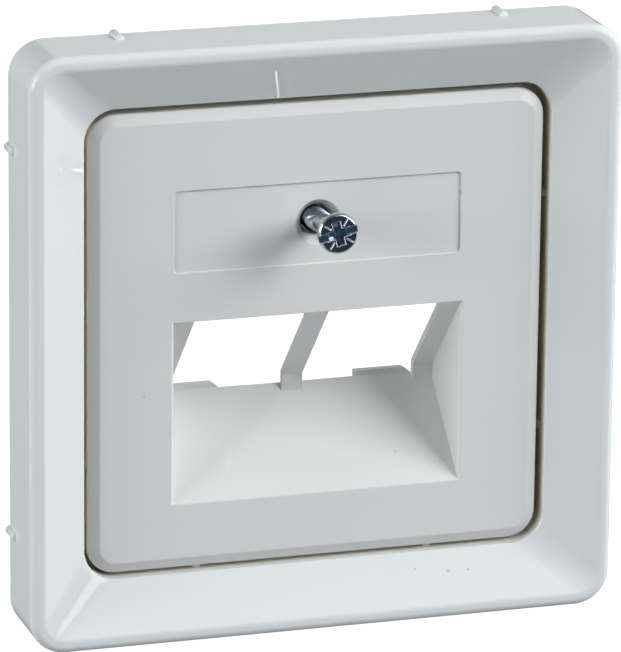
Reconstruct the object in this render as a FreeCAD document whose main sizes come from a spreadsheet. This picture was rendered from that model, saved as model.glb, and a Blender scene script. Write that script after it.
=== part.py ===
# Wall plate: a square cover frame, a centre plate with a slanted double window, and its fixing screw.
# Millimetres. X is right and Z is up. The wall is the plane Y = 0 and the front faces -Y.
# The origin is the middle of the frame's rear edge, on the wall. Heights are measured from the wall.
import FreeCAD
import Part
import Sketcher
import math
import os

os.makedirs("parts", exist_ok=True)
document = FreeCAD.newDocument("wall_plate")

sizes = {
    # cover frame
    "frame_side": 80.0,             # width and height over the flat sides
    "frame_depth": 11.25,           # wall to the crest of the rim
    "frame_corner": 4.7,            # corner radius of the outer sides
    "frame_wall": 1.8,              # thickness of the outer sides
    "rim_round": 1.1,               # rounding on both sides of the crest
    "dish_width": 6.49,             # sloping front from the crest to the opening, seen from the front
    "opening_corner": 4.3,
    "opening_height": 7.05,         # wall to the edge of the opening
    "opening_round": 0.35,
    "front_wall": 2.0,              # thickness of the dished front, along the depth
    "inner_wall": 1.5,              # wall around the opening
    "ledge_height": 2.7,            # wall to the seat of the centre plate
    "ledge_thickness": 1.5,
    "ledge_width": 2.4,
    "stiffener": 1.2,               # thickness of the rear ribs of both mouldings
    "stiffener_spacing": 20.0,
    "nub_radius": 0.6,              # half-round nubs on the outer sides
    "nub_length": 3.6,
    "nub_offset": 26.0,             # from the middle of the side
    "centring_width": 1.0,          # ribs in the gap around the centre plate
    "centring_reach": 0.4,
    "centring_top": 5.2,            # wall to the front end of a rib
    "centring_offset": 16.0,
    # centre plate
    "plate_clearance": 0.75,        # between plate and opening, when centred
    "plate_shift": 0.15,            # the plate lies this far to the left and low in its play
    "plate_corner": 3.8,
    "plate_front": 7.0,             # wall to the front face
    "bevel_width": 1.5,             # sloping border of the front face, seen from the front
    "bevel_drop": 0.85,             # how far the border falls back
    "bevel_round": 0.4,             # outer edge of the border
    "crease_round": 0.5,            # where the border meets the face
    "plate_wall": 2.2,
    "skirt_wall": 1.6,
    "label_width": 39.1,
    "label_height": 11.0,
    "label_middle": 14.9,           # above the middle of the plate
    "label_depth": 0.3,
    "label_corner": 0.6,
    "window_width": 39.35,
    "window_shift": 0.15,           # the window's middle, right of the plate's middle
    "window_top": 2.8,              # above the middle of the plate
    "window_height": 24.9,
    "window_round": 0.45,
    "hood_depth": 11.35,            # front face to the deepest inside face of the window
    "hood_upright": 2.2,            # upright stretch between the slanted bars and the ramp
    "slant_drop": 11.85,            # how far the slanted bars come down
    "bar_thickness": 0.95,
    "ramp_thickness": 1.4,
    "hood_side": 1.2,               # side walls of the window
    "divider_width": 2.85,
    "port_width": 15.45,
    "tab_height": 0.7,              # tabs behind the ramp's rear edge
    "tab_thickness": 1.1,
    "tab_chamfer": 0.95,
    "left_tab_width": 6.85,
    "right_tab_width": 7.75,
    "tab_lap": 0.5,                 # the left tab runs on behind the slanted bar
    "tab_inset": 0.15,              # the right tab stops short of the port's side
    "boss_diameter": 7.6,
    "boss_length": 7.3,
    # fixing screw, metric 3 mm
    "thread_diameter": 3.0,
    "hole_play": 0.4,               # between screw and hole, on the radius
    "sink_diameter": 6.15,          # countersink at the label face
    "sink_depth": 1.7,
    "screw_length": 25.0,
    "head_diameter": 5.4,
    "head_land": 0.75,              # depth of the head's edge, with its rounding
    "neck_diameter": 2.65,
    "neck_end": 6.8,                # head face to the first thread
    "tip_chamfer": 0.5,
    "slot_width": 0.9,
    "slot_depth": 0.4,
    "cross_width": 1.1,
    "cross_length": 3.2,
    "cross_depth": 1.1,
    "tick_width": 0.2,
    "tick_length": 1.1,
    "tick_depth": 0.12,
    "drive_angle": 14.0,            # degrees, slot against level
    "screw_out": 8.6,               # head face in front of the plate's front face
    "screw_tilt": 3.0,              # degrees, the loose screw droops at its tail
}

sheet = document.addObject("Spreadsheet::Sheet", "sizes")
for row, (name, value) in enumerate(sizes.items(), start=1):
    sheet.set("A%d" % row, name)
    sheet.set("B%d" % row, repr(value))
    sheet.setAlias("B%d" % row, name)
document.recompute()


class Size:
    # A length with its number and the spreadsheet expression that gives it

    def __init__(self, value, text):
        self.value = float(value)
        self.text = text

    def joined(self, other, sign, swap=False):
        other = other if isinstance(other, Size) else Size(other, repr(float(other)))
        first, second = (other, self) if swap else (self, other)
        numbers = {
            "+": lambda a, b: a + b,
            "-": lambda a, b: a - b,
            "*": lambda a, b: a * b,
            "/": lambda a, b: a / b,
        }
        return Size(numbers[sign](first.value, second.value), "(%s %s %s)" % (first.text, sign, second.text))

    def __add__(self, other):
        return self.joined(other, "+")

    def __radd__(self, other):
        return self.joined(other, "+", True)

    def __sub__(self, other):
        return self.joined(other, "-")

    def __rsub__(self, other):
        return self.joined(other, "-", True)

    def __mul__(self, other):
        return self.joined(other, "*")

    def __rmul__(self, other):
        return self.joined(other, "*", True)

    def __truediv__(self, other):
        return self.joined(other, "/")

    def __neg__(self):
        return self.joined(0.0, "-", True)

    def tangent(self):
        return Size(math.tan(math.radians(self.value)), "tan(%s * 1 deg)" % self.text)


def size(name):
    return Size(sizes[name], "sizes." + name)


def fixed(value):
    return Size(value, repr(float(value)))


def new_body(name):
    body = document.addObject("PartDesign::Body", name)
    body.Label = name
    return body


def new_sketch(body, name, plane, across=None, up=None, out=None):
    # plane "XZ" looks at the front: sketch x = X, sketch y = Z, out = height in front of the wall.
    # plane "YZ" is a side section: sketch x = Y, sketch y = Z, out = X.
    sketch = body.newObject("Sketcher::SketchObject", name)
    origin_plane = [feature for feature in body.Origin.OriginFeatures if feature.Role == plane + "_Plane"][0]
    sketch.AttachmentSupport = [(origin_plane, "")]
    sketch.MapMode = "FlatFace"
    for axis, offset in (("x", across), ("y", up), ("z", out)):
        if offset is not None:
            sketch.setExpression("AttachmentOffset.Base." + axis, offset.text)
    document.recompute()
    return sketch


def hold(sketch, kind, places, value):
    # A dimension that follows the spreadsheet
    number = sketch.addConstraint(Sketcher.Constraint(kind, *places, value.value))
    sketch.setExpression("Constraints[%d]" % number, value.text)


def rounded_rectangle(sketch, width, height, radius, middle_x=None, middle_z=None):
    middle_x = middle_x if middle_x is not None else fixed(0)
    middle_z = middle_z if middle_z is not None else fixed(0)
    half_w, half_h, r = width.value / 2, height.value / 2, radius.value
    mx, mz = middle_x.value, middle_z.value
    first = sketch.GeometryCount
    vector = FreeCAD.Vector
    # bottom, right, top and left sides, then the corners that follow each of them
    ends = [
        ((-half_w + r, -half_h), (half_w - r, -half_h)),
        ((half_w, -half_h + r), (half_w, half_h - r)),
        ((half_w - r, half_h), (-half_w + r, half_h)),
        ((-half_w, half_h - r), (-half_w, -half_h + r)),
    ]
    for a, b in ends:
        start, end = vector(a[0] + mx, a[1] + mz, 0), vector(b[0] + mx, b[1] + mz, 0)
        sketch.addGeometry(Part.LineSegment(start, end), False)
    corners = [(1, -1, -90), (1, 1, 0), (-1, 1, 90), (-1, -1, 180)]
    for side_x, side_z, angle in corners:
        centre = vector(side_x * (half_w - r) + mx, side_z * (half_h - r) + mz, 0)
        circle = Part.Circle(centre, vector(0, 0, 1), r)
        sketch.addGeometry(Part.ArcOfCircle(circle, math.radians(angle), math.radians(angle + 90)), False)
    for side in range(4):
        line, arc, following = first + side, first + 4 + side, first + (side + 1) % 4
        sketch.addConstraint(Sketcher.Constraint("Tangent", line, 2, arc, 1))
        sketch.addConstraint(Sketcher.Constraint("Tangent", arc, 2, following, 1))
    for side, kind in enumerate(("Horizontal", "Vertical", "Horizontal", "Vertical")):
        sketch.addConstraint(Sketcher.Constraint(kind, first + side))
    for side in range(1, 4):
        sketch.addConstraint(Sketcher.Constraint("Equal", first + 4, first + 4 + side))
    hold(sketch, "Radius", (first + 4,), radius)
    # corner centres 3 (bottom left) and 1 (top right) fix the place and the two sides
    low, high = first + 7, first + 5
    hold(sketch, "DistanceX", (-1, 1, low, 3), middle_x - width / 2 + radius)
    hold(sketch, "DistanceY", (-1, 1, low, 3), middle_z - height / 2 + radius)
    hold(sketch, "DistanceX", (-1, 1, high, 3), middle_x + width / 2 - radius)
    hold(sketch, "DistanceY", (-1, 1, high, 3), middle_z + height / 2 - radius)


def polygon(sketch, points):
    # A closed outline whose corners all follow the spreadsheet
    first = sketch.GeometryCount
    count = len(points)
    places = [FreeCAD.Vector(x.value, z.value, 0) for x, z in points]
    for number in range(count):
        sketch.addGeometry(Part.LineSegment(places[number], places[(number + 1) % count]), False)
    for number in range(count):
        following = first + (number + 1) % count
        sketch.addConstraint(Sketcher.Constraint("Coincident", first + number, 2, following, 1))
    for number, (x, z) in enumerate(points):
        hold(sketch, "DistanceX", (-1, 1, first + number, 1), x)
        hold(sketch, "DistanceY", (-1, 1, first + number, 1), z)


def rectangle(sketch, left, bottom, right, top):
    polygon(sketch, [(left, bottom), (right, bottom), (right, top), (left, top)])


def circle(sketch, x, z, radius):
    centre = FreeCAD.Vector(x.value, z.value, 0)
    number = sketch.addGeometry(Part.Circle(centre, FreeCAD.Vector(0, 0, 1), radius.value), False)
    hold(sketch, "Radius", (number,), radius)
    hold(sketch, "DistanceX", (-1, 1, number, 3), x)
    hold(sketch, "DistanceY", (-1, 1, number, 3), z)


volumes = {}


def finish_feature(body, feature, adds):
    # Every pad has to add material and every cut has to remove some
    body.Tip = feature
    document.recompute()
    change = feature.Shape.Volume - volumes.get(body.Name, 0.0)
    volumes[body.Name] = feature.Shape.Volume
    if feature.Shape.isNull() or not feature.Shape.isValid():
        raise RuntimeError(feature.Name + " made no sound shape")
    if (adds and change <= 0) or (not adds and change >= 0):
        raise RuntimeError("%s changed the volume by %.3f" % (feature.Name, change))
    return feature


def pad(body, sketch, name, length, backward=False, both_ways=False):
    feature = body.newObject("PartDesign::Pad", name)
    feature.Profile = sketch
    feature.setExpression("Length", length.text)
    feature.Reversed = backward
    feature.Midplane = both_ways
    sketch.Visibility = False
    return finish_feature(body, feature, True)


def pocket(body, sketch, name, length, forward=False, both_ways=False):
    # Cuts toward the wall, unless forward is set
    feature = body.newObject("PartDesign::Pocket", name)
    feature.Profile = sketch
    feature.setExpression("Length", length.text)
    feature.Reversed = forward
    feature.Midplane = both_ways
    sketch.Visibility = False
    return finish_feature(body, feature, False)


def loft(body, kind, name, sketches):
    feature = body.newObject("PartDesign::" + kind, name)
    feature.Profile = sketches[0]
    feature.Sections = sketches[1:]
    feature.Ruled = True
    feature.Closed = False
    return finish_feature(body, feature, kind.startswith("Additive"))


def turned(body, kind, name, sketch):
    # Turns a side section about the sketch's own level axis
    feature = body.newObject("PartDesign::" + kind, name)
    feature.Profile = sketch
    feature.ReferenceAxis = (sketch, ["H_Axis"])
    feature.Angle = 360.0
    sketch.Visibility = False
    return finish_feature(body, feature, kind == "Revolution")


def ring_pattern(body, feature, name, sketch, count, adds, angle=360.0):
    # Repeats a feature around the sketch's normal
    pattern = body.newObject("PartDesign::PolarPattern", name)
    pattern.Originals = [feature]
    pattern.Axis = (sketch, ["N_Axis"])
    pattern.Angle = angle
    pattern.Occurrences = count
    return finish_feature(body, pattern, adds)


def rounding(body, base, name, radius, wanted):
    edges = ["Edge%d" % (n + 1) for n, edge in enumerate(base.Shape.Edges) if wanted(edge)]
    if not edges:
        raise RuntimeError(name + " found no edge to round")
    feature = body.newObject("PartDesign::Fillet", name)
    feature.Base = (base, edges)
    feature.setExpression("Radius", radius.text)
    body.Tip = feature
    document.recompute()
    if feature.Shape.isNull() or not feature.Shape.isValid():
        raise RuntimeError(name + " could not be rounded")
    volumes[body.Name] = feature.Shape.Volume
    return feature


def level_edge(height, reach_low, reach_high):
    # Edges that lie at one height in front of the wall, within a band of distances from the middle
    def wanted(edge):
        box = edge.BoundBox
        flat = abs(box.YMin + height) < 1e-4 and abs(box.YMax + height) < 1e-4
        reach = max(abs(box.XMin), abs(box.XMax), abs(box.ZMin), abs(box.ZMax))
        return flat and reach_low - 1e-4 < reach < reach_high + 1e-4
    return wanted


# Cover frame
frame_side = size("frame_side")
frame_depth = size("frame_depth")
frame_corner = size("frame_corner")
opening_corner = size("opening_corner")
opening_height = size("opening_height")
ledge_height = size("ledge_height")
stiffener = size("stiffener")
# the flat crest leaves room for both of its roundings
crest_inset = size("rim_round") * 1.6
crest_side = frame_side - crest_inset * 2
crest_corner = frame_corner - crest_inset
opening_side = crest_side - size("dish_width") * 2
cavity_side = frame_side - size("frame_wall") * 2
cavity_corner = frame_corner - size("frame_wall")
inner_side = opening_side + size("inner_wall") * 2
inner_corner = opening_corner + size("inner_wall")
ledge_opening = opening_side - size("ledge_width") * 2
ledge_corner = opening_corner - size("ledge_width") / 2
ledge_back = ledge_height - size("ledge_thickness")
# the cavity's sloping roof runs parallel to the dished front
dish_rise = frame_depth - opening_height
roof_low = opening_height - size("front_wall")
roof_high = roof_low + dish_rise / size("dish_width") * ((cavity_side - opening_side) / 2)

frame = new_body("cover_frame")

outline = new_sketch(frame, "frame_outline", "XZ")
rounded_rectangle(outline, frame_side, frame_side, frame_corner)
pad(frame, outline, "frame_block", frame_depth)

cavity = new_sketch(frame, "cavity_outline", "XZ")
rounded_rectangle(cavity, cavity_side, cavity_side, cavity_corner)
pocket(frame, cavity, "rear_cavity", roof_high, forward=True)

roof_start = new_sketch(frame, "roof_start", "XZ", out=roof_low)
rounded_rectangle(roof_start, opening_side, opening_side, opening_corner)
roof_end = new_sketch(frame, "roof_end", "XZ", out=roof_high)
rounded_rectangle(roof_end, cavity_side, cavity_side, cavity_corner)
loft(frame, "AdditiveLoft", "front_thickness", [roof_start, roof_end])

collar = new_sketch(frame, "collar_outline", "XZ", out=ledge_back)
rounded_rectangle(collar, inner_side, inner_side, inner_corner)
pad(frame, collar, "collar", opening_height - ledge_back)

# three ribs join the collar to each outer side, and the dish later trims their tops
rib = new_sketch(frame, "frame_rib_section", "XZ", out=ledge_back)
rib_inner = inner_side / 2 - size("inner_wall") / 2
rib_outer = cavity_side / 2 + size("frame_wall") / 2
for place in (-1, 0, 1):
    middle = size("stiffener_spacing") * place
    rectangle(rib, middle - stiffener / 2, rib_inner, middle + stiffener / 2, rib_outer)
rib_pad = pad(frame, rib, "frame_ribs_top", roof_high - ledge_back)
ring_pattern(frame, rib_pad, "frame_ribs", rib, 4, True)

dish_start = new_sketch(frame, "dish_start", "XZ", out=opening_height)
rounded_rectangle(dish_start, opening_side, opening_side, opening_corner)
dish_end = new_sketch(frame, "dish_end", "XZ", out=frame_depth)
rounded_rectangle(dish_end, crest_side, crest_side, crest_corner)
loft(frame, "SubtractiveLoft", "dish", [dish_start, dish_end])

opening = new_sketch(frame, "opening_outline", "XZ", out=opening_height)
rounded_rectangle(opening, opening_side, opening_side, opening_corner)
pocket(frame, opening, "plate_opening", opening_height - ledge_height)

ledge = new_sketch(frame, "ledge_outline", "XZ", out=ledge_height)
rounded_rectangle(ledge, ledge_opening, ledge_opening, ledge_corner)
last = pocket(frame, ledge, "ledge_opening", ledge_height)

half_outer = frame_side.value / 2
half_crest = crest_side.value / 2
half_opening = opening_side.value / 2
crest_edges = level_edge(frame_depth.value, half_crest - frame_corner.value, half_outer)
last = rounding(frame, last, "rim_rounding", size("rim_round"), crest_edges)
opening_edges = level_edge(opening_height.value, half_opening - opening_corner.value, half_opening)
last = rounding(frame, last, "opening_rounding", size("opening_round"), opening_edges)

# small half-round nubs, two on each outer side, sunk into the wall to half their width
nub = new_sketch(frame, "nub_section", "XZ")
for place in (-1, 1):
    circle(nub, size("nub_offset") * place, frame_side / 2, size("nub_radius"))
nub_pad = pad(frame, nub, "nubs_top", size("nub_length"))
ring_pattern(frame, nub_pad, "nubs", nub, 4, True)

# centring ribs that keep the centre plate off the opening's sides, two on each side
centring = new_sketch(frame, "centring_section", "XZ", out=ledge_height)
centring_half = size("centring_width") / 2
for place in (-1, 1):
    middle = size("centring_offset") * place
    rib_face = opening_side / 2 - size("centring_reach")
    rib_root = opening_side / 2 + size("inner_wall") / 2
    rectangle(centring, middle - centring_half, rib_face, middle + centring_half, rib_root)
centring_pad = pad(frame, centring, "centring_ribs_top", size("centring_top") - ledge_height)
ring_pattern(frame, centring_pad, "centring_ribs", centring, 4, True)

# Centre plate, drawn about its own middle
plate_side = opening_side - size("plate_clearance") * 2
plate_front = size("plate_front")
plate_back = plate_front - size("plate_wall")
bevel_foot = plate_front - size("bevel_drop")
face_side = plate_side - size("bevel_width") * 2
face_corner = size("plate_corner") - size("bevel_width")
skirt_side = plate_side - size("skirt_wall") * 2
skirt_corner = size("plate_corner") - size("skirt_wall") / 2
label_middle = size("label_middle")
window_top = size("window_top")
window_bottom = window_top - size("window_height")
half_window = size("window_width") / 2
window_shift = size("window_shift")
hood_back = plate_front - size("hood_depth")
bars_end = window_top - size("slant_drop")
ramp_end = bars_end - size("hood_upright")
slant = size("slant_drop") / size("hood_depth")
ramp = (ramp_end - window_bottom) / size("hood_depth")
hood_rear = hood_back - size("bar_thickness")
# the slanted bars keep their thickness square to their own face
bar_along_depth = size("bar_thickness") * 1.42
root_height = plate_front - size("plate_wall") / 2
port_start = size("divider_width") / 2
port_end = port_start + size("port_width")

plate = new_body("centre_plate")
plate.setExpression("Placement.Base.x", (-size("plate_shift")).text)
plate.setExpression("Placement.Base.z", (-size("plate_shift")).text)

outline = new_sketch(plate, "plate_outline", "XZ", out=ledge_height)
rounded_rectangle(outline, plate_side, plate_side, size("plate_corner"))
pad(plate, outline, "plate_block", bevel_foot - ledge_height)

# sloping border around the flat front face
border_start = new_sketch(plate, "border_start", "XZ", out=bevel_foot)
rounded_rectangle(border_start, plate_side, plate_side, size("plate_corner"))
border_end = new_sketch(plate, "border_end", "XZ", out=plate_front)
rounded_rectangle(border_end, face_side, face_side, face_corner)
last = loft(plate, "AdditiveLoft", "sloping_border", [border_start, border_end])
outer_edges = level_edge(bevel_foot.value, 0.0, plate_side.value / 2)
last = rounding(plate, last, "border_edge", size("bevel_round"), outer_edges)
crease_edges = level_edge(plate_front.value, 0.0, face_side.value / 2)
rounding(plate, last, "border_crease", size("crease_round"), crease_edges)

hollow = new_sketch(plate, "hollow_outline", "XZ", out=ledge_height)
rounded_rectangle(hollow, skirt_side, skirt_side, skirt_corner)
pocket(plate, hollow, "rear_hollow", plate_back - ledge_height, forward=True)

# stiffening ribs behind the plate, as deep as its skirt
rib_reach = skirt_side / 2 + size("skirt_wall") / 2
rib_low = ledge_height + stiffener / 2
ribs = new_sketch(plate, "plate_rib_section", "XZ", out=rib_low)
rectangle(ribs, -rib_reach, label_middle - stiffener / 2, rib_reach, label_middle + stiffener / 2)
pad(plate, ribs, "level_rib", root_height - rib_low)
for name, side in (("left", -1), ("right", 1)):
    upright = new_sketch(plate, name + "_rib_section", "XZ", out=rib_low)
    middle = (half_window + size("hood_side") + skirt_side / 2) / 2 * side
    rectangle(upright, middle - stiffener / 2, -rib_reach, middle + stiffener / 2, rib_reach)
    pad(plate, upright, name + "_rib", root_height - rib_low)

# outside of the window's hood, as a side section: sketch x is minus the height in front of the wall
hood = new_sketch(plate, "hood_outside", "YZ", out=window_shift)
bars_outside_rear = bars_end + slant * (bar_along_depth - size("bar_thickness"))
bars_outside_root = window_top + slant * (root_height - plate_front + bar_along_depth)
ramp_outside = size("ramp_thickness") * 1.4
ramp_outside_rear = ramp_end + ramp * size("bar_thickness") - ramp_outside
ramp_outside_root = window_bottom + ramp * (plate_front - root_height) - ramp_outside
polygon(hood, [
    (-root_height, bars_outside_root),
    (-hood_rear, bars_outside_rear),
    (-hood_rear, ramp_outside_rear),
    (-root_height, ramp_outside_root),
])
pad(plate, hood, "hood_block", size("window_width") + size("hood_side") * 2, both_ways=True)

boss = new_sketch(plate, "boss_section", "XZ", out=plate_back - size("boss_length"))
circle(boss, fixed(0), label_middle, size("boss_diameter") / 2)
pad(plate, boss, "screw_boss", size("boss_length") + size("plate_wall") / 2)

# the window: upright front, slanted back and ramp
window = new_sketch(plate, "window_section", "YZ", out=window_shift)
past_front = plate_front + size("plate_wall")
polygon(window, [
    (-past_front, window_top),
    (-plate_front, window_top),
    (-hood_back, bars_end),
    (-hood_back, ramp_end),
    (-plate_front, window_bottom),
    (-past_front, window_bottom),
])
last = pocket(plate, window, "window_void", size("window_width"), both_ways=True)

# soft edges down both sides and along the bottom of the window
window_left = (window_shift - half_window).value
window_right = (window_shift + half_window).value


def window_edge(edge):
    box = edge.BoundBox
    flat = abs(box.YMin + plate_front.value) < 1e-4 and abs(box.YMax + plate_front.value) < 1e-4
    inside = box.XMin > window_left - 1e-3 and box.XMax < window_right + 1e-3
    inside = inside and box.ZMin > window_bottom.value - 1e-3 and box.ZMax < window_top.value + 1e-3
    top = box.ZMin > window_top.value - 1e-3
    return flat and inside and not top


rounding(plate, last, "window_rounding", size("window_round"), window_edge)

# two ports through the slanted back, square to it, down to the ramp
lip = size("bar_thickness") / 8
reach = size("hood_depth") / 2
past_rear = hood_rear - reach / 2
ramp_past_rear = ramp_end + ramp * (hood_back - past_rear)
for name, left_side in (("left_port", window_shift - port_end), ("right_port", window_shift + port_start)):
    port = new_sketch(plate, name + "_section", "YZ", out=left_side)
    polygon(port, [
        (-(plate_front - lip), window_top - slant * lip),
        (-(plate_front - lip - reach), window_top - slant * lip + reach),
        (-past_rear, ramp_past_rear + reach / 4),
        (-past_rear, ramp_past_rear),
        (-hood_back, ramp_end),
        (-(plate_front - reach / 3), window_top - slant * reach * 0.6),
    ])
    pocket(plate, port, name, size("port_width"), forward=True)

# low tabs behind the ramp's rear edge, each with a sloping right end
ramp_edge = ramp_end + ramp * size("bar_thickness")
tab_top = ramp_edge + size("tab_height")
tab_low = ramp_outside_rear + size("bar_thickness") / 4
tabs = new_sketch(plate, "tab_outlines", "XZ", out=hood_rear)
ports_left, ports_right = window_shift - port_end, window_shift + port_end
right_tab_end = ports_right - size("tab_inset")
for left, right in (
    (ports_left - size("tab_lap"), ports_left + size("left_tab_width")),
    (right_tab_end - size("right_tab_width"), right_tab_end),
):
    polygon(tabs, [
        (left, tab_low),
        (right, tab_low),
        (right, ramp_edge),
        (right - size("tab_chamfer"), tab_top),
        (left, tab_top),
    ])
pad(plate, tabs, "ramp_tabs", size("tab_thickness"), backward=True)

label = new_sketch(plate, "label_outline", "XZ", out=plate_front)
rounded_rectangle(label, size("label_width"), size("label_height"), size("label_corner"), middle_z=label_middle)
pocket(plate, label, "label_recess", size("label_depth"))

# screw hole with its countersink, turned about the hole's axis
label_face = plate_front - size("label_depth")
hole_radius = size("thread_diameter") / 2 + size("hole_play")
sink_radius = size("sink_diameter") / 2
hole = new_sketch(plate, "hole_section", "YZ", up=label_middle)
hole_rear = plate_back - size("boss_length") * 1.1
polygon(hole, [
    (-plate_front, fixed(0)),
    (-hole_rear, fixed(0)),
    (-hole_rear, hole_radius),
    (-(label_face - size("sink_depth")), hole_radius),
    (-label_face, sink_radius),
    (-plate_front, sink_radius),
])
turned(plate, "Groove", "screw_hole", hole)

# Fixing screw, drawn with its head face on the origin and its tail along +Y
screw = new_body("fixing_screw")
head_radius = size("head_diameter") / 2
neck_radius = size("neck_diameter") / 2
thread_radius = size("thread_diameter") / 2
screw_length = size("screw_length")
cone_end = size("head_land") + head_radius - neck_radius
face_round = size("head_land") * 2 / 3

section = new_sketch(screw, "screw_section", "YZ")
polygon(section, [
    (fixed(0), fixed(0)),
    (fixed(0), head_radius),
    (size("head_land"), head_radius),
    (cone_end, neck_radius),
    (size("neck_end"), neck_radius),
    (size("neck_end") + thread_radius - neck_radius, thread_radius),
    (screw_length - size("tip_chamfer"), thread_radius),
    (screw_length, thread_radius - size("tip_chamfer")),
    (screw_length, fixed(0)),
])
blank = turned(screw, "Revolution", "screw_blank", section)
rounding(screw, blank, "head_rounding", face_round, level_edge(0.0, neck_radius.value, head_radius.value + 0.01))


def drive_sketch(name, turn):
    sketch = new_sketch(screw, name, "XZ")
    sketch.AttachmentOffset = FreeCAD.Placement(
        FreeCAD.Vector(0, 0, 0), FreeCAD.Rotation(FreeCAD.Vector(0, 0, 1), sizes["drive_angle"] + turn))
    sketch.setExpression("AttachmentOffset.Rotation.Angle", (size("drive_angle") + turn).text + " * 1 deg")
    document.recompute()
    return sketch


slot = drive_sketch("slot_outline", 0.0)
slot_half = size("slot_width") / 2
rectangle(slot, -head_radius * 1.1, -slot_half, head_radius * 1.1, slot_half)
pocket(screw, slot, "slot", size("slot_depth"))

cross = drive_sketch("cross_outline", 0.0)
cross_half = size("cross_width") / 2
cross_reach = size("cross_length") / 2
rectangle(cross, -cross_reach, -cross_half, cross_reach, cross_half)
arm = pocket(screw, cross, "cross_arm", size("cross_depth"))
ring_pattern(screw, arm, "cross", cross, 2, False, 90.0)

tick = drive_sketch("tick_outline", 45.0)
tick_half = size("tick_width") / 2
tick_end = head_radius - face_round * 0.8
rectangle(tick, tick_end - size("tick_length"), -tick_half, tick_end, tick_half)
mark = pocket(screw, tick, "tick", size("tick_depth"))
ring_pattern(screw, mark, "ticks", tick, 4, False)

# the loose screw lies in its hole with the tail low, and crosses the hole's axis at mid-length of the boss
tilt = size("screw_tilt")
head_height = plate_front + size("screw_out")
pivot_height = plate_back - size("boss_length") / 2
head_lift = tilt.tangent() * (head_height - pivot_height)
screw.Placement = FreeCAD.Placement(
    FreeCAD.Vector(0, 0, 0), FreeCAD.Rotation(FreeCAD.Vector(1, 0, 0), -sizes["screw_tilt"]))
screw.setExpression("Placement.Base.x", (-size("plate_shift")).text)
screw.setExpression("Placement.Base.y", (-head_height).text)
screw.setExpression("Placement.Base.z", (label_middle - size("plate_shift") + head_lift).text)
screw.setExpression("Placement.Rotation.Angle", (-tilt).text + " * 1 deg")
document.recompute()

# Checks and export
for item in document.Objects:
    if "Invalid" in item.State or "Error" in item.State:
        raise RuntimeError(item.Name + " is " + ", ".join(item.State))
for body in (frame, plate, screw):
    if body.Shape.isNull() or not body.Shape.isValid() or len(body.Shape.Solids) != 1:
        raise RuntimeError(body.Label + " is not one sound solid")
    body.Shape.exportStep("parts/%s.step" % body.Label)
    bounds = body.Shape.BoundBox
    print("%s  volume %.1f mm3  X %.2f..%.2f  Y %.2f..%.2f  Z %.2f..%.2f" % (
        body.Label, body.Shape.Volume, bounds.XMin, bounds.XMax, bounds.YMin, bounds.YMax, bounds.ZMin, bounds.ZMax))
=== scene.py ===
import bmesh
import bpy
import math
from mathutils import Matrix, Vector


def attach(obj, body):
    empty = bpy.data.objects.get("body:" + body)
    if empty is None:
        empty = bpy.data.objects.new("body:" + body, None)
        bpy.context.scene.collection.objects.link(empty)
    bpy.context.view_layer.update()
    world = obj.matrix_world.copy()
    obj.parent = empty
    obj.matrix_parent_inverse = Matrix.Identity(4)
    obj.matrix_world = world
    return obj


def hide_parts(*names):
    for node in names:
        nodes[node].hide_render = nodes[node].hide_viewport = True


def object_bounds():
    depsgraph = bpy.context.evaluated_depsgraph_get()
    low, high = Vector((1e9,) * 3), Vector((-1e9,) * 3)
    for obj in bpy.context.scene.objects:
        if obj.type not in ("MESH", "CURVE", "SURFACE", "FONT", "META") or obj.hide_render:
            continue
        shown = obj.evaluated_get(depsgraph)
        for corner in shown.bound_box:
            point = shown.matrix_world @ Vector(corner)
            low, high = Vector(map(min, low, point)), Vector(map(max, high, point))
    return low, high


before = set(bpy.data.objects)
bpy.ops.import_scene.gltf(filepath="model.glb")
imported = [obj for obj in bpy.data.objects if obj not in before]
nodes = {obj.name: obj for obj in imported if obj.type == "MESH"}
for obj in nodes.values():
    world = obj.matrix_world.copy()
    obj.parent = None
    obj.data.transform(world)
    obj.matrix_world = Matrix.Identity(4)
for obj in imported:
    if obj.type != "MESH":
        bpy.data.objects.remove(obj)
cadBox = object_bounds()
scene = bpy.context.scene
mm = 0.001
print("frame loaded:", ", ".join(sorted(nodes)))


# helpers for node trees
class Wire:
    # a socket that takes part in sums
    def __init__(self, maker, socket):
        self.maker = maker
        self.socket = socket

    def maths(self, operation, other=0.0, swapped=False):
        pair = (other, self) if swapped else (self, other)
        return self.maker.node("ShaderNodeMath", {"operation": operation}, {0: pair[0], 1: pair[1]})

    def __add__(self, other):
        return self.maths("ADD", other)

    def __radd__(self, other):
        return self.maths("ADD", other, True)

    def __sub__(self, other):
        return self.maths("SUBTRACT", other)

    def __rsub__(self, other):
        return self.maths("SUBTRACT", other, True)

    def __mul__(self, other):
        return self.maths("MULTIPLY", other)

    def __truediv__(self, other):
        return self.maths("DIVIDE", other)

    def __abs__(self):
        return self.maths("ABSOLUTE")

    def kept(self, low, high):
        # no lower than low, no higher than high
        return self.maths("MAXIMUM", low).maths("MINIMUM", high)


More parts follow.
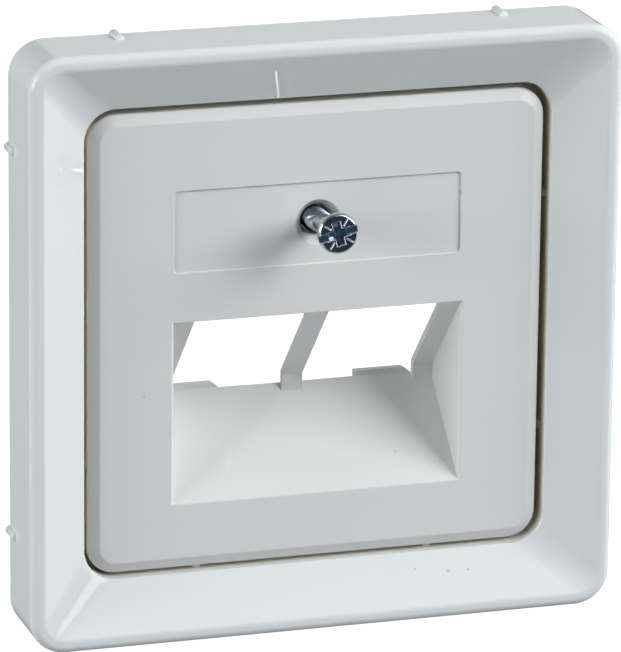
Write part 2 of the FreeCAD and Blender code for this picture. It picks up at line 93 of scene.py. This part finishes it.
class Nodes:
    # makes and joins the nodes of one tree
    def __init__(self, tree):
        self.tree = tree

    def node(self, kind, settings=None, inputs=None, output=0):
        made = self.tree.nodes.new(kind)
        for key, value in (settings or {}).items():
            setattr(made, key, value)
        for key, value in (inputs or {}).items():
            self.put(made.inputs[key], value)
        return Wire(self, made.outputs[output])

    def put(self, socket, value):
        if isinstance(value, Wire):
            self.tree.links.new(value.socket, socket)
        else:
            socket.default_value = value

    def vector(self, operation, first, second=None, scale=None):
        inputs = {0: first}
        if second is not None:
            inputs[1] = second
        if scale is not None:
            inputs["Scale"] = scale
        single = operation in ("DISTANCE", "DOT_PRODUCT")
        return self.node("ShaderNodeVectorMath", {"operation": operation}, inputs, "Value" if single else "Vector")

    def split(self, vector):
        first = self.node("ShaderNodeSeparateXYZ", None, {0: vector})
        return [Wire(self, output) for output in first.socket.node.outputs]

    def noise(self, place, scale, detail=2.0):
        inputs = {"Vector": place, "Scale": scale, "Detail": detail}
        return self.node("ShaderNodeTexNoise", {"noise_dimensions": "3D"}, inputs, "Fac")

    def ease(self, value, low, high):
        # 0 at low, 1 at high, smooth between
        settings = {"interpolation_type": "SMOOTHSTEP"}
        inputs = {"Value": value, "From Min": low, "From Max": high, "To Min": 0.0, "To Max": 1.0}
        return self.node("ShaderNodeMapRange", settings, inputs, "Result")

    def blend(self, share, first, second):
        # two colours; the mix node's colour sockets are numbers 6 and 7, and its output number 2
        inputs = {0: share, 6: first, 7: second}
        return self.node("ShaderNodeMix", {"data_type": "RGBA"}, inputs, 2)

    def mark(self, name):
        # a value stored on the faces
        return self.node("ShaderNodeAttribute", {"attribute_name": name}, None, "Fac")


class Finish(Nodes):
    # one material
    def __init__(self, name):
        self.material = bpy.data.materials.new(name)
        self.material.use_nodes = True
        super().__init__(self.material.node_tree)
        self.shader = self.tree.nodes["Principled BSDF"]

    def set(self, **inputs):
        # shader inputs by name, with spaces written as underscores
        for key, value in inputs.items():
            self.put(self.shader.inputs[key.replace("_", " ")], value)

    def place(self):
        # object coordinates in millimetres
        coordinates = self.node("ShaderNodeTexCoord", output="Object")
        return self.vector("SCALE", coordinates, scale=1 / mm)


class Shaper(Nodes):
    # geometry nodes with named inputs
    def __init__(self, name):
        super().__init__(bpy.data.node_groups.new(name, "GeometryNodeTree"))
        self.entry = self.tree.nodes.new("NodeGroupInput")

    def take(self, name, kind):
        self.tree.interface.new_socket(name, in_out="INPUT", socket_type=kind)
        return Wire(self, self.entry.outputs[name])

    def give(self, geometry):
        self.tree.interface.new_socket("Geometry", in_out="OUTPUT", socket_type="NodeSocketGeometry")
        leave = self.tree.nodes.new("NodeGroupOutput")
        self.put(leave.inputs["Geometry"], geometry)

    def apply(self, piece, values):
        modifier = piece.modifiers.new(self.tree.name, "NODES")
        modifier.node_group = self.tree
        for item in self.tree.interface.items_tree:
            if item.in_out == "INPUT":
                modifier[item.identifier] = values[item.name]
        return settled(piece)


def direction(azimuth, elevation):
    # unit vector, by degrees round from the front and degrees up
    azimuth, elevation = math.radians(azimuth), math.radians(elevation)
    return Vector((
        math.sin(azimuth) * math.cos(elevation),
        -math.cos(azimuth) * math.cos(elevation),
        math.sin(elevation),
    ))


def newPiece(name, mesh, material):
    mesh.materials.clear()
    mesh.materials.append(material)
    piece = bpy.data.objects.new(name, mesh)
    scene.collection.objects.link(piece)
    return piece


def settled(piece):
    # the piece's mesh with its modifiers worked in
    graph = bpy.context.evaluated_depsgraph_get()
    mesh = bpy.data.meshes.new_from_object(piece.evaluated_get(graph))
    piece.modifiers.clear()
    piece.data = mesh
    return piece


def fromBmesh(name, shape):
    mesh = bpy.data.meshes.new(name)
    shape.to_mesh(mesh)
    shape.free()
    return mesh


def evenNormals(piece, sharpAngle):
    # smooth shading that leaves the flat faces flat
    shape = bmesh.new()
    shape.from_mesh(piece.data)
    for face in shape.faces:
        face.smooth = True
    for edge in shape.edges:
        edge.smooth = edge.calc_face_angle() < math.radians(sharpAngle)
    shape.to_mesh(piece.data)
    shape.free()
    even = piece.modifiers.new("even", "WEIGHTED_NORMAL")
    even.keep_sharp = True
    even.weight = 100           # the largest faces decide
    return settled(piece)


# camera at the photograph's viewing angle
view = {
    "azimuth": -17.554,         # degrees, minus is left of the front
    "elevation": 16.633,
    "roll": 0.651,
    "distance": 747.087 * mm,
    "target": (1.072 * mm, 0.0, -1.407 * mm),
    "lens": 312.28,
    "sensor": 36.0,
    "clip": (0.01, 50.0),
}


def makeCamera(view):
    azimuth, roll = math.radians(view["azimuth"]), math.radians(view["roll"])
    back = direction(view["azimuth"], view["elevation"])
    level = Vector((math.cos(azimuth), math.sin(azimuth), 0.0))
    upright = back.cross(level)
    across = math.cos(roll) * level + math.sin(roll) * upright
    upward = math.cos(roll) * upright - math.sin(roll) * level
    data = bpy.data.cameras.new("camera")
    data.lens = view["lens"]
    data.sensor_width = view["sensor"]
    data.clip_start, data.clip_end = view["clip"]
    camera = bpy.data.objects.new("camera", data)
    turn = Matrix((across, upward, back)).transposed().to_4x4()
    camera.matrix_world = Matrix.Translation(Vector(view["target"]) + back * view["distance"]) @ turn
    scene.collection.objects.link(camera)
    scene.camera = camera


makeCamera(view)
print("camera set")

# moulded plastic
framePlastic = {
    "colour": (0.808, 0.828, 0.815, 1.0),
    "roughness": 0.035,
    "seamDustAndPaintedShade": (0.77, 0.715, 0.54, 1.0),      # dust tint and painted shade in the gap round the plate
    "seamLevelPaintedLight": (0.80, 0.785, 0.715, 1.0),       # its top and bottom sides, painted paler to even out the light there
    "seamHeight": (-7.0, -6.2),                 # mm, from clean to dusty and shaded
    "seamReach": (32.3, 31.9),
    "seamBack": (-2.0, -2.6),                   # clean again behind the ledge
    "middle": 0.0,
}
platePlastic = {
    "colour": (0.807, 0.80, 0.772, 1.0),
    "roughness": 0.05,
    # gap tint: dust and painted shade, its top and bottom sides painted paler
    "seamDustAndPaintedShade": (0.79, 0.745, 0.59, 1.0),
    "seamLevelPaintedLight": (0.82, 0.80, 0.72, 1.0),
    "seamHeight": (-6.3, -5.5),
    "seamReach": (30.0, 30.7),
    "seamBack": (-2.0, -2.6),
    "middle": -0.15,
}
# skin that both mouldings share; scales are per mm
skin = {
    "ior": 1.49,
    "driftScale": 0.06, "driftDetail": 3.0, "driftTone": 0.985,
    "dustScale": 0.5, "dustDetail": 4.0, "dustLeast": 0.8, "dustSwing": 0.4, "dustRoughness": 0.4,
    "cornerTurn": 2.0,                          # mm, where upright sides of the gap give way to level ones
    "polishScale": 0.4, "polishSwing": 0.02,
    "waveScale": 0.22, "waveDetail": 1.0, "waveStrength": 0.05, "waveHeight": 0.05 * mm,
    "speckColour": (0.16, 0.13, 0.09, 1.0), "speckRagged": 6.0, "speckCore": 0.4,
}
# place, radius in mm, strength
frameSpecks = [
    ((11.20, -9.75, 35.92), 0.14, 0.5),
    ((13.40, -8.34, -33.75), 0.13, 0.7),
    ((17.93, -8.67, -34.26), 0.26, 0.35),
    ((20.73, -8.71, -34.31), 0.17, 0.9),
]
plateSpecks = [
    ((-23.73, -7.0, -7.07), 0.2, 0.3),
    ((-18.3, -7.0, -9.3), 0.14, 0.2),
    ((12.02, -3.27, -18.68), 0.16, 0.4),
    ((19.39, -6.78, 17.42), 0.16, 0.5),
    ((29.84, -6.72, 11.06), 0.2, 0.15),
]
# painted shade inside the screw hole
screwBorePaintedShade = {
    "colour": (0.05, 0.05, 0.048, 1.0),          # painted shade inside the screw hole
    "axis": (-0.15, 14.75),                     # mm
    "radius": (2.25, 1.95),
    "depth": (-5.6, -4.9),
    "strength": 0.85,
}


def mouldedPlastic(name, look, specks, paintedBoreShades):
    finish = Finish(name)
    place = finish.place()
    x, y, z = finish.split(place)
    # slow drift of tone through the moulding
    drift = finish.noise(place, skin["driftScale"], skin["driftDetail"])
    deeper = tuple(skin["driftTone"] * part for part in look["colour"][:3]) + (1.0,)
    tone = finish.blend(drift, deeper, look["colour"])
    # dust tint and painted shade on the sides of the gap, its top and bottom sides painted paler
    reach = abs(x - look["middle"]).maths("MAXIMUM", abs(z - look["middle"]))
    seamDustAndShade = finish.ease(y, *look["seamHeight"]) * finish.ease(reach, *look["seamReach"])
    seamDustAndShade = seamDustAndShade * finish.ease(y, *look["seamBack"])
    cloud = finish.noise(place, skin["dustScale"], skin["dustDetail"])
    seamDustAndShade = seamDustAndShade * (skin["dustLeast"] + cloud * skin["dustSwing"])
    upright = finish.ease(abs(x) - abs(z), -skin["cornerTurn"], skin["cornerTurn"])
    seamDustAndShadeTone = finish.blend(upright, look["seamLevelPaintedLight"], look["seamDustAndPaintedShade"])
    tone = finish.blend(seamDustAndShade.maths("MINIMUM", 1.0), tone, seamDustAndShadeTone)
    for spot, radius, strength in specks:
        ragged = finish.vector("DISTANCE", place, spot)
        ragged = ragged + (finish.noise(place, skin["speckRagged"]) - 0.5) * radius
        share = (1 - finish.ease(ragged, radius * skin["speckCore"], radius)) * strength
        tone = finish.blend(share, tone, skin["speckColour"])
    # painted shade inside the screw hole: the bore darkened within its radius and behind its mouth
    for boreShade in paintedBoreShades:
        across, up = x - boreShade["axis"][0], z - boreShade["axis"][1]
        fromAxis = (across * across + up * up).maths("SQRT")
        boreShadeShare = finish.ease(fromAxis, *boreShade["radius"]) * finish.ease(y, *boreShade["depth"])
        tone = finish.blend(boreShadeShare * boreShade["strength"], tone, boreShade["colour"])
    finish.set(Base_Color=tone, IOR=skin["ior"])
    polish = (finish.noise(place, skin["polishScale"]) - 0.5) * skin["polishSwing"]
    finish.set(Roughness=look["roughness"] + polish + seamDustAndShade * skin["dustRoughness"])
    # faint waviness of a moulded skin
    wave = finish.noise(place, skin["waveScale"], skin["waveDetail"])
    bump = {"Height": wave, "Strength": skin["waveStrength"], "Distance": skin["waveHeight"]}
    finish.set(Normal=finish.node("ShaderNodeBump", None, bump, "Normal"))
    return finish.material


def softened(name, cadName, material, edges):
    # copy of a moulding with its sharp edges eased
    shape = bmesh.new()
    shape.from_mesh(nodes[cadName].data)
    bmesh.ops.remove_doubles(shape, verts=shape.verts, dist=edges["merge"])
    bmesh.ops.dissolve_limit(
        shape, angle_limit=math.radians(edges["flat"]), verts=shape.verts, edges=shape.edges,
        use_dissolve_boundaries=False)
    sharp = [
        edge for edge in shape.edges
        if edge.calc_face_angle() > math.radians(edges["angle"]) and edge.calc_length() > edges["shortest"]
    ]
    bmesh.ops.bevel(
        shape, geom=sharp, offset=edges["width"], offset_type="OFFSET", segments=edges["steps"], profile=0.5,
        affect="EDGES", clamp_overlap=False, miter_outer="SHARP")
    piece = newPiece(name, fromBmesh(name, shape), material)
    evenNormals(piece, edges["sharp"])
    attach(piece, "cover")
    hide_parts(cadName)
    return piece


mouldingEdges = {
    "merge": 0.002 * mm,
    "flat": 0.3,                # degrees, faces that become one
    "angle": 60.0,              # degrees, edges that are eased
    "shortest": 0.05 * mm,
    "width": 0.1 * mm,
    "steps": 2,
    "sharp": 40.0,              # degrees, edges that stay crisp in the shading
}
whitePlastic = mouldedPlastic("frame plastic", framePlastic, frameSpecks, [])
coverFrame = softened("coverFrame", "cover_frame", whitePlastic, mouldingEdges)
warmPlastic = mouldedPlastic("plate plastic", platePlastic, plateSpecks, [screwBorePaintedShade])
centrePlate = softened("centrePlate", "centre_plate", warmPlastic, mouldingEdges)
print("mouldings set")

# screw: turned head with slot and cross, rolled thread
screwSteel = {
    "colour": (0.70, 0.79, 0.85, 1.0),
    "tint": (0.46, 0.56, 0.56, 1.0),            # cloudy patches of the plating
    "tintScale": 0.7, "tintDetail": 3.0, "tintRange": (0.35, 0.65),
    "grain": (0.30, 0.34, 0.36, 1.0),
    "grainScale": 9.0, "grainDetail": 4.0, "grainShare": 0.25, "grainRoughness": 0.08,
    # painted shade and painted reflection in the drive recess, darker and bluer
    "paintedRecessShade": (0.34, 0.50, 0.64, 1.0),
    # rough pressed-up burrs, with a painted highlight in their lighter tone
    "burrAndPaintedHighlight": (0.88, 0.91, 0.92, 1.0),
    # painted shade in the thread grooves
    "paintedGrooveShade": (0.09, 0.12, 0.12, 1.0),
    "roughness": 0.09,
    "paintedRecessShadeRoughness": 0.3,
    "threadRoughness": 0.3,
    "burrAndPaintedHighlightRoughness": 0.5,
}
screwShape = {
    "headFace": (-0.15 * mm, -15.6 * mm, 15.507 * mm),
    "tilt": 3.0,                # degrees, tail low
    "turn": 14.0,               # degrees, slot against level
    "headRadius": 2.7 * mm,
    "headRounding": 0.5 * mm, "roundingSteps": 6,
    "headLand": 0.75 * mm,
    "coneEnd": 2.125 * mm,
    "neckRadius": 1.325 * mm,
    "plugShare": 0.9,           # the head's end inside the shank, against the neck
    "around": 64,
    "sharp": 30.0,              # degrees, edges that stay crisp in the shading
}
driveShape = {
    # depth, length and width, from the head face down
    "slot": [(0.0, 8.0 * mm, 0.9 * mm), (0.4 * mm, 8.0 * mm, 0.828 * mm)],
    # steep walls, then a floor that falls to the middle
    "crossArm": [(0.0, 3.2 * mm, 1.1 * mm), (0.8 * mm, 2.4 * mm, 0.935 * mm), (1.1 * mm, 0.96 * mm, 0.88 * mm)],
    "tick": [(0.0, 1.1 * mm, 0.26 * mm), (0.13 * mm, 0.88 * mm, 0.02 * mm)],
    "tickPlace": 1.75 * mm,
    "edge": 0.11 * mm,          # pressed-up edges of slot and cross
    # depth and radius of the round middle
    "dimple": [(-0.4 * mm, 0), (-0.4 * mm, 0.95 * mm), (0.9 * mm, 0.6 * mm), (1.2 * mm, 0)],
    "dimpleAround": 32,
    "rise": 0.5 * mm,           # cutters above the head face
}
# which faces of the screw take which finish
screwZones = {
    "rimMargin": 0.04 * mm,
    "skinDepth": 0.1 * mm,
    "rearward": 0.5, "floor": -0.97,            # along the axis, of a face's normal
    "wallShare": 0.4,           # painted shade on the walls, against the floor's
    "threadLead": 0.05 * mm, "paintedGrooveShadeLag": 0.25 * mm,
}
threadShape = {
    "Start": 1.3 * mm,
    "Neck Radius": 1.325 * mm,
    "Crest Radius": 1.495 * mm,
    "Root Radius": 1.2 * mm,
    "Thread Start": 6.8 * mm,
    "Run In": 0.3 * mm,
    "Pitch": 0.5 * mm,
    "End": 25.0 * mm,
    "Tip Chamfer": 0.5 * mm,
    "Around": 48,
    "Rows": 420,
}


def threadTree(thread):
    shaper = Shaper("rolledThread")
    inputs = {}
    for name in thread:
        inputs[name] = shaper.take(name, "NodeSocketInt" if name in ("Around", "Rows") else "NodeSocketFloat")
    steel = shaper.take("Material", "NodeSocketMaterial")
    rows, start, end, pitch = (inputs[name] for name in ("Rows", "Start", "End", "Pitch"))
    neck, crest, root = (inputs[name + " Radius"] for name in ("Neck", "Crest", "Root"))
    threadStart = inputs["Thread Start"]
    grid = shaper.node("GeometryNodeMeshGrid", None, {
        "Size X": 1.0, "Size Y": 1.0, "Vertices X": rows, "Vertices Y": inputs["Around"] + 1})
    down, across = shaper.split(shaper.node("GeometryNodeInputPosition"))[:2]
    row = (down + 0.5) * (rows - 1)
    turn = across + 0.5
    # first and last rows close the ends on the axis
    onAxis = row.maths("LESS_THAN", 0.5) + row.maths("GREATER_THAN", rows - 1.5)
    along = start + ((row - 1) / (rows - 3)).kept(0.0, 1.0) * (end - start)
    # thread form: flat crest, straight flanks, flat root
    rootEdge, flankShare, weld = 0.75, 0.6, 0.0001 * mm
    phase = ((along - threadStart) / pitch - turn).maths("FRACT")
    height = ((rootEdge - abs(phase - 0.5) * 2) / flankShare).kept(0.0, 1.0)
    runIn = ((along - threadStart) / inputs["Run In"]).kept(0.0, 1.0)
    radius = neck + runIn * (root + height * (crest - root) - neck)
    chamfer = crest - (along - (end - inputs["Tip Chamfer"]))
    radius = radius.maths("MINIMUM", chamfer) * (1 - onAxis)
    angle = turn * math.tau
    spot = shaper.node("ShaderNodeCombineXYZ", None, {
        "X": radius * angle.maths("COSINE"), "Y": along, "Z": radius * angle.maths("SINE")})
    shank = shaper.node("GeometryNodeSetPosition", None, {"Geometry": grid, "Position": spot})
    shank = shaper.node("GeometryNodeMergeByDistance", None, {"Geometry": shank, "Distance": weld})
    shank = shaper.node("GeometryNodeRealizeInstances", None, {"Geometry": shank})
    shaper.give(shaper.node("GeometryNodeSetMaterial", None, {"Geometry": shank, "Material": steel}))
    return shaper


def turned(profile, around):
    # closed body of revolution round Y; the profile starts and ends on the axis
    shape = bmesh.new()
    rings = []
    for along, radius in profile:
        if radius == 0:
            rings.append([shape.verts.new((0, along, 0))])
        else:
            angles = [math.tau * step / around for step in range(around)]
            rings.append([shape.verts.new((radius * math.cos(a), along, radius * math.sin(a))) for a in angles])
    for first, second in zip(rings, rings[1:]):
        for step in range(around):
            corners = [first[step % len(first)], first[(step + 1) % len(first)]]
            corners += [second[(step + 1) % len(second)], second[step % len(second)]]
            shape.faces.new(list(dict.fromkeys(corners)))
    bmesh.ops.recalc_face_normals(shape, faces=shape.faces)
    return shape


def wedge(levels, edge, rise):
    # tapered cutter, flared by its edge at the head face; levels are depth, length and width
    face, below = levels[0], levels[1]
    neck = [wide + (narrow - wide) * edge / below[0] for wide, narrow in zip(face[1:], below[1:])]
    flared = [side + 2 * (edge + rise) for side in neck]
    corners = ((-1, -1), (1, -1), (1, 1), (-1, 1))
    shape = bmesh.new()
    rings = []
    for depth, length, width in [(-rise, *flared), (edge, *neck)] + levels[1:]:
        rings.append([shape.verts.new((x * length / 2, depth, z * width / 2)) for x, z in corners])
    for first, second in zip(rings, rings[1:]):
        for step in range(4):
            following = (step + 1) % 4
            shape.faces.new((first[step], first[following], second[following], second[step]))
    shape.faces.new(rings[0])
    shape.faces.new(rings[-1])
    return shape


def swing(shape, degrees):
    # round the screw's own axis
    turn = Matrix.Rotation(math.radians(degrees), 3, "Y")
    bmesh.ops.rotate(shape, verts=shape.verts, cent=(0, 0, 0), matrix=turn)


def driveCutters(drive):
    # slot, cross and the four ticks between its arms
    edge, rise = drive["edge"], drive["rise"]
    cutters = [wedge(drive["slot"], edge, rise)]
    for quarter in range(2):
        arm = wedge(drive["crossArm"], edge, rise)
        swing(arm, 90 * quarter)
        cutters.append(arm)
    cutters.append(turned(drive["dimple"], drive["dimpleAround"]))
    for quarter in range(4):
        tick = wedge(drive["tick"], 0.0, rise)
        bmesh.ops.translate(tick, verts=tick.verts, vec=(drive["tickPlace"], 0, 0))
        swing(tick, 45 + 90 * quarter)
        cutters.append(tick)
    for cutter in cutters:
        bmesh.ops.recalc_face_normals(cutter, faces=cutter.faces)
    return cutters


def combine(piece, others, operation):
    for other in others:
        modifier = piece.modifiers.new("combine", "BOOLEAN")
        modifier.operation = operation
        modifier.solver = "EXACT"
        modifier.object = other
        settled(piece)
        bpy.data.objects.remove(other)


def platedSteel(name, look):
    finish = Finish(name)
    place = finish.place()
    patch = finish.ease(finish.noise(place, look["tintScale"], look["tintDetail"]), *look["tintRange"])
    grain = finish.noise(place, look["grainScale"], look["grainDetail"])
    tone = finish.blend(patch, look["colour"], look["tint"])
    tone = finish.blend(grain * look["grainShare"], tone, look["grain"])
    # the recess and groove tones are painted shade, the burr tone a painted highlight
    for zone in ("paintedRecessShade", "burrAndPaintedHighlight", "paintedGrooveShade"):
        tone = finish.blend(finish.mark(zone), tone, look[zone])
    finish.set(Base_Color=tone, Metallic=1.0)
    rough = look["roughness"] + (grain - 0.5) * look["grainRoughness"]
    for zone in ("paintedRecessShade", "thread", "burrAndPaintedHighlight"):
        rough = rough + finish.mark(zone) * (look[zone + "Roughness"] - look["roughness"])
    finish.set(Roughness=rough)
    return finish.material


def markZones(mesh, shape, thread, zones):
    # marks the faces of the drive (painted shade), of its pressed edges (burrs with a painted highlight), of the
    # thread and of its grooves (painted shade)
    rounding, flat = shape["headRounding"], shape["headRadius"] - shape["headRounding"]
    threadHeight = thread["Crest Radius"] - thread["Root Radius"]
    marks = {"paintedRecessShade": [], "burrAndPaintedHighlight": [], "thread": [], "paintedGrooveShade": []}
    for face in mesh.polygons:
        reach, depth, facing = math.hypot(face.center.x, face.center.z), face.center.y, face.normal.y
        bend = min(max(reach - flat, 0.0), rounding)
        rimDepth = rounding - math.sqrt(rounding ** 2 - bend ** 2)
        inHead = reach < shape["headRadius"] - zones["rimMargin"] and depth < thread["Start"]
        inDrive = inHead and depth > rimDepth + zones["skinDepth"] and facing < zones["rearward"]
        inside = 1.0 if facing < zones["floor"] else zones["wallShare"]
        pressed = reach < flat and depth < zones["skinDepth"] and facing > zones["floor"]
        sunk = min(max((thread["Crest Radius"] - reach) / threadHeight, 0.0), 1.0)
        marks["paintedRecessShade"].append(inside if inDrive else 0.0)
        marks["burrAndPaintedHighlight"].append(1.0 if pressed else 0.0)
        marks["thread"].append(1.0 if depth > thread["Thread Start"] - zones["threadLead"] else 0.0)
        marks["paintedGrooveShade"].append(sunk if depth > thread["Thread Start"] + zones["paintedGrooveShadeLag"] else 0.0)
    for name, values in marks.items():
        mesh.attributes.new(name, "FLOAT", "FACE").data.foreach_set("value", values)


def makeScrew(shape, drive, thread, zones, material):
    rounding, radius, neck = shape["headRounding"], shape["headRadius"], shape["neckRadius"]
    rim = []
    for step in range(shape["roundingSteps"] + 1):
        bend = math.radians(90 / shape["roundingSteps"] * step)
        rim.append((rounding * (1 - math.cos(bend)), radius - rounding * (1 - math.sin(bend))))
    # the cone runs on a little inside the shank, so that the two join
    plug = neck * shape["plugShare"]
    plugEnd = shape["coneEnd"] + neck - plug
    profile = [(0, 0)] + rim + [(shape["headLand"], radius), (shape["coneEnd"], neck), (plugEnd, plug), (plugEnd, 0)]
    screw = newPiece("fixingScrew", fromBmesh("head", turned(profile, shape["around"])), material)
    cutters = [newPiece("cutter", fromBmesh("cutter", cutter), material) for cutter in driveCutters(drive)]
    combine(screw, cutters, "DIFFERENCE")
    shank = newPiece("shank", bpy.data.meshes.new("shank"), material)
    threadTree(thread).apply(shank, dict(thread, Material=material))
    combine(screw, [shank], "UNION")
    markZones(screw.data, shape, thread, zones)
    tilt = Matrix.Rotation(math.radians(-shape["tilt"]), 4, "X")
    turn = Matrix.Rotation(math.radians(-shape["turn"]), 4, "Y")
    screw.data.transform(Matrix.Translation(shape["headFace"]) @ tilt @ turn)
    return evenNormals(screw, shape["sharp"])


zincPlating = platedSteel("zinc plating", screwSteel)
fixingScrew = makeScrew(screwShape, driveShape, threadShape, screwZones, zincPlating)
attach(fixingScrew, "screw")
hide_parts("fixing_screw")
print("screw set")

# plain white floor and backdrop, seen by the camera only
stage = {
    "floorSide": 6.0, "domeRadius": 4.0, "domeSteps": (32, 16),
    "colour": (0.2, 0.2, 0.2, 1.0), "roughness": 0.9,
    "glowColour": (1.0, 1.0, 1.0, 1.0), "glow": 1.0,
}


def makeStage(stage):
    finish = Finish("stage white")
    finish.set(Base_Color=stage["colour"], Roughness=stage["roughness"])
    finish.set(Emission_Color=stage["glowColour"], Emission_Strength=stage["glow"])
    ground = bmesh.new()
    bmesh.ops.create_grid(ground, x_segments=1, y_segments=1, size=stage["floorSide"] / 2)
    bmesh.ops.translate(ground, verts=ground.verts, vec=(0, 0, cadBox[0].z))
    dome = bmesh.new()
    around, upward = stage["domeSteps"]
    bmesh.ops.create_uvsphere(dome, u_segments=around, v_segments=upward, radius=stage["domeRadius"])
    bmesh.ops.reverse_faces(dome, faces=dome.faces)
    for name, shape in (("floor", ground), ("backdrop", dome)):
        piece = newPiece(name, fromBmesh(name, shape), finish.material)
        for rays in ("visible_diffuse", "visible_glossy", "visible_transmission", "visible_shadow"):
            setattr(piece, rays, False)


makeStage(stage)

# soft studio light: degrees round from the front (minus is left), degrees up, width and height in m, watts
# right and rightFill stand a little apart, because lights in one place hide each other
lights = {
    "left": (-73, 15, 0.6, 0.6, 7.2),
    "leftStrip": (-87, 19, 0.2, 0.55, 1.6),
    "leftLow": (-52, -16, 0.7, 0.7, 1.05),
    "leftBelow": (-50, -40, 0.6, 0.6, 0.6),
    "leftRear": (-120, 15, 0.6, 0.6, 0.9),
    "rightUp": (51, 45, 0.5, 0.5, 1.2),
    "right": (55, 24, 0.8, 0.6, 4.5),
    "rightFill": (54.5, 25, 0.8, 0.6, 8.5),
    "rightStrip": (85, 17, 0.2, 0.55, 0.8),
    "rightLow": (83, -17, 0.7, 0.7, 1.25),
    "frontUp": (23, 41, 0.42, 0.42, 0.25),
    "rightRearUp": (108, 38, 0.6, 0.6, 1.7),
    "rear": (160, 15, 0.6, 0.6, 0.4),
    "below": (55, -62, 0.9, 0.9, 0.5),
}
unmirrored = ("rightFill",)     # lights that leave no glint
lampDistance = 1.2
lampColour = (0.955, 0.995, 1.02)
# white tent with a dark front
surround = {
    "white": lampColour + (1.0,),
    "dark": (0.19, 0.21, 0.34, 1.0),
    "darkAzimuth": 5.0, "darkElevation": -5.0,
    "darkSpread": (72.0, 42.0),         # degrees off that direction, from white to dark
    "strength": 0.2,
}


def makeLights(lights, surround):
    for name, (azimuth, elevation, width, height, watts) in lights.items():
        data = bpy.data.lights.new(name, "AREA")
        data.shape = "RECTANGLE"
        data.size, data.size_y = width, height
        data.energy = watts
        data.color = lampColour
        lamp = bpy.data.objects.new(name, data)
        away = direction(azimuth, elevation)
        lamp.location = away * lampDistance
        lamp.rotation_mode = "QUATERNION"
        lamp.rotation_quaternion = away.to_track_quat("Z", "Y")
        lamp.visible_glossy = name not in unmirrored
        scene.collection.objects.link(lamp)
    world = bpy.data.worlds.new("surround")
    world.use_nodes = True
    sky = Nodes(world.node_tree)
    heading = sky.node("ShaderNodeTexCoord", output="Generated")
    darkFront = direction(surround["darkAzimuth"], surround["darkElevation"])
    toward = sky.vector("DOT_PRODUCT", heading, tuple(darkFront))
    darkness = sky.ease(toward, *(math.cos(math.radians(spread)) for spread in surround["darkSpread"]))
    background = world.node_tree.nodes["Background"]
    sky.put(background.inputs["Color"], sky.blend(darkness, surround["white"], surround["dark"]))
    background.inputs["Strength"].default_value = surround["strength"]
    scene.world = world


makeLights(lights, surround)
scene.view_settings.view_transform = "Standard"
print("stage and lights set")
